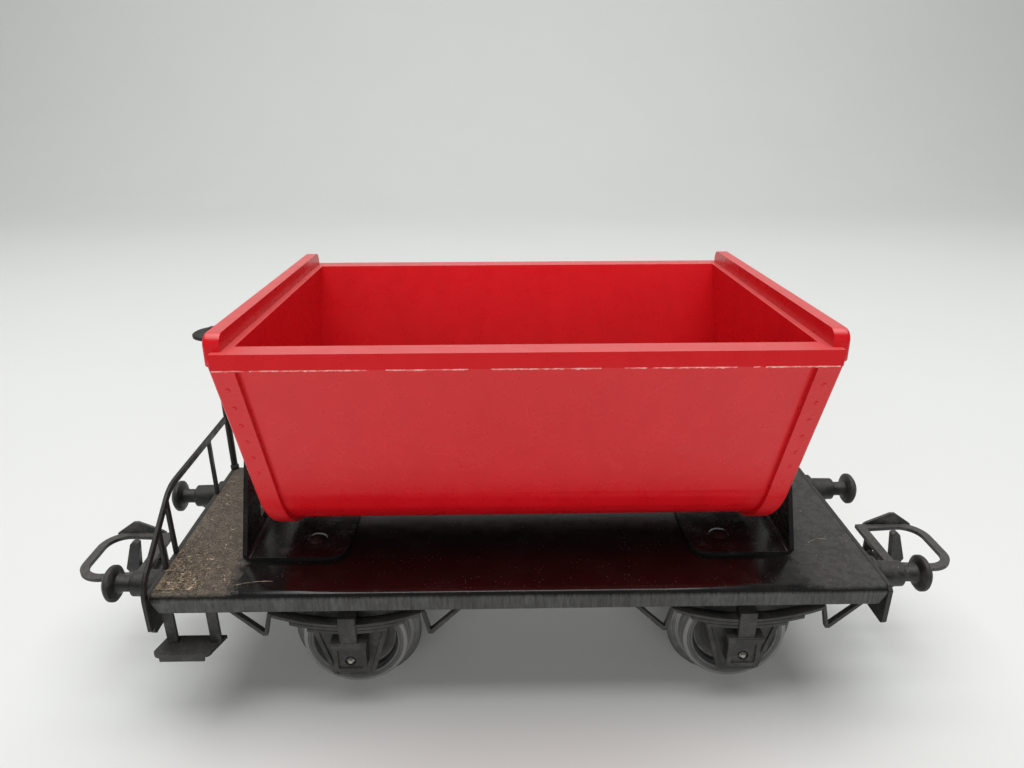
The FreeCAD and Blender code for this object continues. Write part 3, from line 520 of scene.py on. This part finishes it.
def deck_grit(material):
    """Loose grains on the platform, piled in its near corner by the railing, and a few at the other end."""
    bm = bmesh.new()
    platform_grains, corner_grains, far_grains = 1500, 620, 200
    platform_end, far_start, far_end = -30.7, 31.2, 37.8
    edge_clear = 0.9
    left = deck_low.x / MM
    half = deck_high.y / MM - edge_clear
    top = DECK_TOP / MM
    placed = 0
    while placed < platform_grains:
        x = random.uniform(left + 0.2, platform_end)
        y = random.uniform(-half, half)
        crowd = noise.noise(Vector((x * 0.3, y * 0.3, 4.0)))
        if random.random() > 0.5 + crowd:
            continue
        size = 0.035 + 0.07 * random.random() ** 3
        grain(bm, Vector((x, y, top + size * 0.3)) * MM, size * MM)
        placed += 1
    for _ in range(corner_grains):
        away = random.random() ** 1.6
        x = left + 0.4 + away * 4.5
        y = -half + 0.2 + random.random() ** 1.8 * 7
        size = random.uniform(0.05, 0.12)
        heap = 0.25 * random.random() * (1 - away)
        grain(bm, Vector((x, y, top + size * 0.3 + heap)) * MM, size * MM)
    for _ in range(far_grains):
        spot = Vector((random.uniform(far_start, far_end), random.uniform(-half, half), top + 0.01))
        grain(bm, spot * MM, random.uniform(0.02, 0.055) * MM)
    new_piece("deck_grit", mesh_from(bm, "deck_grit"), material, "wagon", smooth=False)


def lint(material):
    """A few pale fibres lying on the deck."""
    top = DECK_TOP / MM
    thickness = 0.028 * MM
    fibres = [
        ((-30.2, -12.6, top + 0.05), (-28.4, -12.0, top + 0.25), (-26.2, -11.9, top + 0.06)),
        ((-36.2, -10.5, top + 0.05), (-35.4, -9.6, top + 0.30), (-35.1, -8.3, top + 0.08)),
        ((-34.0, 4.0, top + 0.05), (-33.0, 5.2, top + 0.18), (-33.4, 6.4, top + 0.05)),
        ((33.0, -6.0, top + 0.05), (34.1, -5.2, top + 0.16), (35.3, -5.4, top + 0.05)),
    ]
    curve = bpy.data.curves.new("lint_fibres", "CURVE")
    curve.dimensions = "3D"
    curve.bevel_depth = thickness
    curve.bevel_resolution = 2
    for fibre in fibres:
        spline = curve.splines.new("NURBS")
        spline.points.add(len(fibre) - 1)
        for point, spot in zip(spline.points, fibre):
            point.co = (*(Vector(spot) * MM), 1.0)
        spline.order_u = 3
        spline.use_endpoint_u = True
    piece = bpy.data.objects.new("lint_fibres", curve)
    bpy.context.scene.collection.objects.link(piece)
    curve.materials.append(material)
    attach(piece, "wagon")


def paint(material, *names):
    """Gives a material to every CAD node whose name starts with one of names."""
    for node, piece in nodes.items():
        if node.startswith(names):
            for slot in piece.material_slots:
                slot.material = material


# ---------------------------------------------------------------- finishes

red = red_plastic()
steel = axle_steel()
grit = grit_material()
paint(red, "hopper")
paint(deck_paint(), "deck_plate")
paint(bracket_paint(), "bracket")
paint(black_plastic(), "underframe", "axle_guard", "axlebox", "leaf_spring", "spring_hangers", "footstep")
paint(black_plastic("buffer_plastic", dust=0.30, base=0.010), "end_beam", "buffer")
paint(black_plastic("coupling_plastic", dust=0.62, base=0.013), "drawbar", "coupling")
paint(black_plastic("rail_plastic", dust=0.16, base=0.009), "railing", "brake")
for end in ("left", "right"):
    low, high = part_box("axle_" + end)
    middle = (low + high) / 2 / MM
    paint(wheel_metal("wheel_metal_" + end, middle.x, middle.z), "wheel_" + end)
paint(steel, "axle_left", "axle_right", "loop_pin")

for node in nodes:
    if node == "hopper":
        soften(node, width=0.16, segments=3)
    elif node.startswith(("deck", "bracket_l", "bracket_r", "end_beam", "underframe", "buffer", "wheel")):
        soften(node, width=0.08)
    elif not node.startswith(("bracket_rivets", "coupling_rivet", "loop_pin", "axle_left", "axle_right")):
        soften(node, width=0.06)

hopper_rivets(red)
rim_flash(flash_plastic())
deck_grit(grit)
lint(grit)


# ---------------------------------------------------------------- stage, light and camera

def stage():
    """Pale floor that sweeps up into a backdrop, with a painted shadow that turns it dark in front of the
    wagon's -Y side.
    """
    s = Shade("stage_paper")
    warm_white, white, shadow = (0.80, 0.81, 0.79), (0.83, 0.84, 0.82), (0.10, 0.10, 0.10)
    paper = s.mix(s.noise(0.02, 2), warm_white, white)
    # Painted shadow: the paper is darkened in front of the wagon.
    paper = s.mix(s.step(s.y, -150, -60, 0.85, 0.0), paper, shadow)
    paper = s.finish(paper, s.step(s.noise(0.05, 3), 0.3, 0.7, 0.85, 0.95))
    front, bend, sweep, top = -0.9, 0.32, 0.22, 1.2
    half_width = 1.3
    steps = 12
    bm = bmesh.new()
    profile = [(front, 0.0), (bend, 0.0)]
    for step in range(1, steps + 1):
        angle = math.pi / 2 * step / steps
        profile.append((bend + sweep * math.sin(angle), sweep - sweep * math.cos(angle)))
    profile.append((bend + sweep, top))
    rows = [[bm.verts.new((x, y, z)) for x in (-half_width, half_width)] for y, z in profile]
    for a, b in zip(rows, rows[1:]):
        bm.faces.new((a[0], a[1], b[1], b[0]))
    mesh = mesh_from(bm, "stage")
    floor = bpy.data.objects.new("stage", mesh)
    bpy.context.scene.collection.objects.link(floor)
    mesh.materials.append(paper)
    for face in mesh.polygons:
        face.use_smooth = True


def softbox(name, spot, target, size, power, mirrored=True):
    """Rectangular light. One that isn't mirrored brightens surfaces but leaves no reflection."""
    light = bpy.data.lights.new(name, "AREA")
    light.shape = "RECTANGLE"
    light.size, light.size_y = size
    light.energy = power
    lamp = bpy.data.objects.new(name, light)
    bpy.context.scene.collection.objects.link(lamp)
    lamp.location = spot
    lamp.visible_glossy = mirrored
    lamp.rotation_euler = (Vector(target) - Vector(spot)).to_track_quat("-Z", "Y").to_euler()


def camera():
    """Standing close in front of the wagon, looking a little down."""
    data = bpy.data.cameras.new("camera")
    data.sensor_width = 36.0
    data.lens = 26.0
    data.clip_start = 0.005
    data.clip_end = 10.0
    viewer = bpy.data.objects.new("camera", data)
    bpy.context.scene.collection.objects.link(viewer)
    viewer.location = (-0.00196, -0.07687, 0.06546)
    pitch, yaw, roll = (math.radians(angle) for angle in (22.03, 0.945, -0.163))
    turn = Matrix.Rotation(-yaw, 3, "Z") @ Matrix.Rotation(math.pi / 2 - pitch, 3, "X")
    viewer.rotation_euler = (turn @ Matrix.Rotation(roll, 3, "Z")).to_euler()
    bpy.context.scene.camera = viewer


stage()
softbox("overhead", spot=(0.0, 0.02, 0.50), target=(0.0, 0.02, 0.0), size=(0.60, 0.42), power=2.75)
softbox("fill", spot=(-0.05, -0.60, 0.16), target=(0.0, 0.0, 0.03), size=(0.8, 0.22), power=2.0,
        mirrored=False)
world = bpy.data.worlds.new("studio")
world.use_nodes = True
background = world.node_tree.nodes["Background"]
background.inputs["Color"].default_value = (0.95, 0.97, 0.95, 1.0)
background.inputs["Strength"].default_value = 0.12
bpy.context.scene.world = world
bpy.context.scene.view_settings.view_transform = "Standard"
camera()
